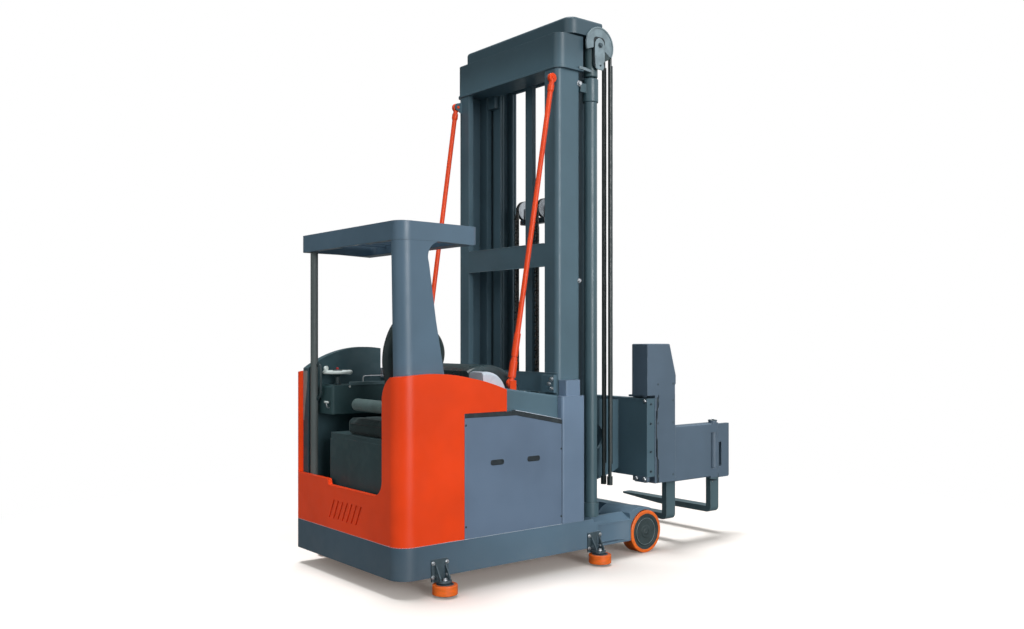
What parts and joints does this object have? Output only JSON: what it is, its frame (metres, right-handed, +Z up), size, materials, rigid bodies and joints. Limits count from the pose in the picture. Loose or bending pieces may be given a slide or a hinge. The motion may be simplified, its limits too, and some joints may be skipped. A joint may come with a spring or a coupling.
{
  "type": "very narrow aisle forklift",
  "caption": "Very narrow aisle forklift with a rear driver's seat, telescopic mast and a fork head that traverses and swings to either side.",
  "frame": {"origin": "on the floor at the middle of the bounding box's base", "axes": "+X forward towards the forks' head, +Y to the truck's left, +Z up"},
  "size_m": [3.12, 1.566, 3.6773],
  "materials": {
    "frame_paint": "satin slate grey paint",
    "cowl_paint": "gloss orange-red paint",
    "stay_paint": "gloss orange paint",
    "guard_paint": "satin slate grey paint",
    "mast_paint": "satin slate grey paint",
    "head_paint": "satin slate grey paint",
    "steel": "ground steel",
    "chain_steel": "oiled dark steel",
    "cylinder_paint": "satin dark grey paint",
    "polyurethane": "satin orange polyurethane",
    "hub_metal": "painted dark",
    "drive_tread": "matt black tread",
    "motor_paint": "satin black",
    "dark_plastic": "grained dark plastic",
    "fairing_silver": "silver grey",
    "battery_case": "black",
    "seat_cloth": "dark woven cloth",
    "armrest_vinyl": "light grey vinyl",
    "grip_plastic": "light grey",
    "hose_rubber": "black hose",
    "sheave_metal": "cast silver grey"
  },
  "bodies": {
    "chassis": {"chassis_frame": "frame_paint", "mast_foot_right": "frame_paint", "mast_foot_left": "frame_paint", "roller_brackets": "steel", "load_axles": "steel", "rear_cowl": "cowl_paint", "side_cover_right": "frame_paint", "side_cover_left": "frame_paint", "battery": "battery_case", "deck": "frame_paint", "hood_cover": "dark_plastic", "hood_fairings": "fairing_silver", "overhead_guard": "guard_paint", "guard_bars": "guard_paint", "guard_post": "guard_paint", "cab_wall": "dark_plastic", "cab_bulkhead": "dark_plastic", "console": "dark_plastic", "seat_base": "dark_plastic", "seat_cushion": "seat_cloth", "seat_back": "seat_cloth", "armrest": "armrest_vinyl", "cab_floor": "dark_plastic", "outer_mast": "mast_paint", "lift_barrels": "cylinder_paint", "mast_stays": "stay_paint"},
    "guide_roller_rear_right": {"guide_roller_rear_right": "polyurethane"},
    "guide_roller_rear_left": {"guide_roller_rear_left": "polyurethane"},
    "guide_roller_front_right": {"guide_roller_front_right": "polyurethane"},
    "guide_roller_front_left": {"guide_roller_front_left": "polyurethane"},
    "load_wheel_right": {"load_tyre_right": "polyurethane", "load_hub_right": "hub_metal"},
    "load_wheel_left": {"load_tyre_left": "polyurethane", "load_hub_left": "hub_metal"},
    "drive_unit": {"drive_unit": "motor_paint"},
    "drive_wheel": {"drive_wheel": "drive_tread"},
    "steering_wheel": {"steering_wheel": "grip_plastic"},
    "middle_mast": {"middle_mast": "mast_paint", "lift_rods": "steel", "hose_sheave": "sheave_metal", "hose_runs": "hose_rubber"},
    "inner_mast": {"inner_mast": "mast_paint", "free_lift_barrel": "cylinder_paint"},
    "free_lift": {"free_lift_head": "steel", "lift_chains": "chain_steel"},
    "carriage": {"carriage": "mast_paint"},
    "head": {"head_arm": "head_paint"},
    "fork_swing": {"fork_carriage": "head_paint", "forks": "head_paint"}
  },
  "joints": [
    {"name": "guide_roller_rear_right_spin", "type": "hinge", "parent": "chassis", "child": "guide_roller_rear_right", "pos_m": [-1.285, -0.708, 0.044], "axis": [0, 0, 1], "continuous": true},
    {"name": "guide_roller_rear_left_spin", "type": "hinge", "parent": "chassis", "child": "guide_roller_rear_left", "pos_m": [-1.285, 0.708, 0.044], "axis": [0, 0, 1], "continuous": true},
    {"name": "guide_roller_front_right_spin", "type": "hinge", "parent": "chassis", "child": "guide_roller_front_right", "pos_m": [-0.027, -0.708, 0.044], "axis": [0, 0, 1], "continuous": true},
    {"name": "guide_roller_front_left_spin", "type": "hinge", "parent": "chassis", "child": "guide_roller_front_left", "pos_m": [-0.027, 0.708, 0.044], "axis": [0, 0, 1], "continuous": true},
    {"name": "load_wheel_right_spin", "type": "hinge", "parent": "chassis", "child": "load_wheel_right", "pos_m": [0.484, -0.595, 0.149], "axis": [0, 1, 0], "continuous": true},
    {"name": "load_wheel_left_spin", "type": "hinge", "parent": "chassis", "child": "load_wheel_left", "pos_m": [0.484, 0.595, 0.149], "axis": [0, 1, 0], "continuous": true},
    {"name": "steer", "type": "hinge", "parent": "chassis", "child": "drive_unit", "pos_m": [-1.295, 0, 0.3], "axis": [0, 0, 1], "range_deg": [-95, 95]},
    {"name": "drive_spin", "type": "hinge", "parent": "drive_unit", "child": "drive_wheel", "pos_m": [-1.295, 0, 0.172], "axis": [0, 1, 0], "continuous": true},
    {"name": "steering_wheel_turn", "type": "hinge", "parent": "chassis", "child": "steering_wheel", "pos_m": [-1.368, 0.43, 1.265], "axis": [0, 0, 1], "continuous": true},
    {"name": "middle_mast_lift", "type": "slide", "parent": "chassis", "child": "middle_mast", "axis": [0, 0, 1], "range_m": [0, 2]},
    {"name": "inner_mast_lift", "type": "slide", "parent": "middle_mast", "child": "inner_mast", "axis": [0, 0, 1], "range_m": [0, 2]},
    {"name": "free_lift", "type": "slide", "parent": "inner_mast", "child": "free_lift", "axis": [0, 0, 1], "range_m": [0, 0.75]},
    {"name": "carriage_lift", "type": "slide", "parent": "inner_mast", "child": "carriage", "axis": [0, 0, 1], "range_m": [0, 1.5]},
    {"name": "traverse", "type": "slide", "parent": "carriage", "child": "head", "axis": [0, 1, 0], "range_m": [0, 1.05]},
    {"name": "fork_swing", "type": "hinge", "parent": "head", "child": "fork_swing", "pos_m": [1.298, -0.571, 0.66], "axis": [0, 0, 1], "range_deg": [-180, 0]}
  ],
  "couplings": [
    {"joint": "inner_mast_lift", "follows": "middle_mast_lift", "ratio": 1},
    {"joint": "free_lift", "follows": "carriage_lift", "ratio": 0.5}
  ]
}
